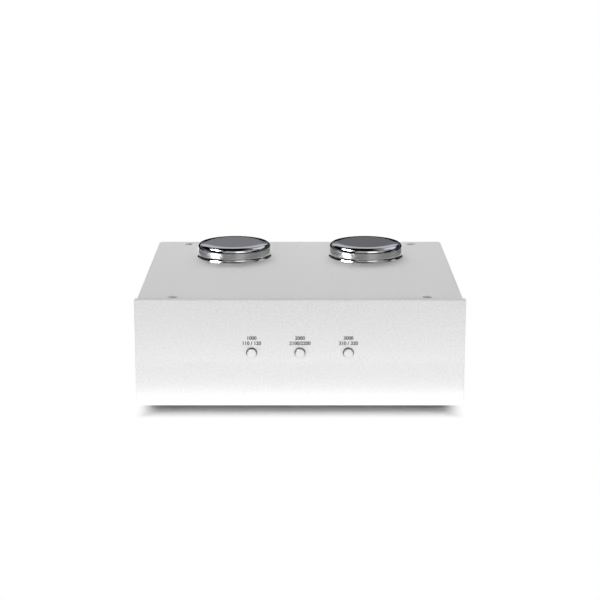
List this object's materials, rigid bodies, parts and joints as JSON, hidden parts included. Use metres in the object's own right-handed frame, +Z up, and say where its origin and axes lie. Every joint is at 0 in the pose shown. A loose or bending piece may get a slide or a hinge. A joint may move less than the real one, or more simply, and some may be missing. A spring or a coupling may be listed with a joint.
{
  "type": "moving coil step-up amplifier",
  "caption": "Flat silver audio box with a thick front panel, push buttons, round polished caps over its transformers, and balanced and phono sockets at the back.",
  "frame": {"origin": "on the ground, under the middle of the object's box", "axes": "+X to the right seen from the front, +Y to the back, +Z up; the front panel faces -Y"},
  "size_m": [0.206, 0.1854, 0.0816],
  "materials": {
    "panel": "bead-blasted, clear anodised",
    "cover": "fine-grained silver",
    "rail": "extruded",
    "ring": "turned, brushed round",
    "lid": "polished",
    "button": "turned, satin",
    "foot": "matte",
    "board": "solder mask",
    "black_plastic": "matte",
    "spacer": "turned",
    "ribbon": "satin",
    "can": "drawn sheet",
    "lamination": "stacked",
    "winding": "taped copper wire",
    "shell": "die-cast, black nickel",
    "steel": "satin",
    "contact": "gold plated",
    "insulator": "moulded",
    "knob": "turned, gold coloured"
  },
  "bodies": {
    "chassis": {"front_panel": "panel", "top_cover": "cover", "base_plate": "cover", "rear_panel": "cover", "front_top_rail": "rail", "rear_top_rail": "rail", "front_bottom_rail": "rail", "rear_bottom_rail": "rail", "feet": "foot", "main_board": "board", "switch_board": "board", "socket_board": "board", "board_spacers": "spacer", "switch_board_spacers": "spacer", "board_header": "black_plastic", "ribbon_cable": "ribbon", "balanced_input_shells": "shell", "balanced_output_shells": "shell", "balanced_input_inserts": "black_plastic", "balanced_input_contacts": "contact", "balanced_output_pins": "contact", "phono_housings": "black_plastic", "phono_barrels": "contact", "phono_insulators": "insulator", "phono_contacts": "contact", "ground_post": "contact", "left_transformer_can": "can", "left_transformer_core": "lamination", "left_transformer_winding": "winding", "left_cap_ring": "ring", "left_cap_lid": "lid", "right_transformer_can": "can", "right_transformer_core": "lamination", "right_transformer_winding": "winding", "right_cap_ring": "ring", "right_cap_lid": "lid", "input_switch": "black_plastic", "gain_switch": "black_plastic", "output_switch": "black_plastic"},
    "input_push": {"input_button": "button", "input_plunger": "black_plastic"},
    "gain_push": {"gain_button": "button", "gain_plunger": "black_plastic"},
    "output_push": {"output_button": "button", "output_plunger": "black_plastic"},
    "left_latch": {"left_latch": "steel"},
    "right_latch": {"right_latch": "steel"},
    "ground_washer": {"ground_washer": "steel"},
    "ground_knob": {"ground_knob": "knob"}
  },
  "joints": [
    {"name": "input_push", "type": "slide", "parent": "chassis", "child": "input_push", "axis": [0, 1, 0], "range_m": [0, 0.0015], "stiffness_N_per_m": 600},
    {"name": "gain_push", "type": "slide", "parent": "chassis", "child": "gain_push", "axis": [0, 1, 0], "range_m": [0, 0.0015], "stiffness_N_per_m": 600},
    {"name": "output_push", "type": "slide", "parent": "chassis", "child": "output_push", "axis": [0, 1, 0], "range_m": [0, 0.0015], "stiffness_N_per_m": 600},
    {"name": "left_latch_press", "type": "hinge", "parent": "chassis", "child": "left_latch", "pos_m": [-0.076, 0.0782, 0.0571], "axis": [-1, 0, 0], "range_deg": [0, 8], "stiffness_Nm_per_rad": 0.05},
    {"name": "right_latch_press", "type": "hinge", "parent": "chassis", "child": "right_latch", "pos_m": [0.076, 0.0782, 0.0571], "axis": [-1, 0, 0], "range_deg": [0, 8], "stiffness_Nm_per_rad": 0.05},
    {"name": "washer_slide", "type": "slide", "parent": "chassis", "child": "ground_washer", "axis": [0, 1, 0], "range_m": [0, 0.0021]},
    {"name": "knob_turn", "type": "hinge", "parent": "ground_washer", "child": "ground_knob", "pos_m": [0, 0.0859, 0.0219], "axis": [0, 1, 0], "range_deg": [0, 1080]}
  ],
  "couplings": [
    {"joint": "knob_turn", "follows": "washer_slide", "rad_per_m": 8976}
  ]
}
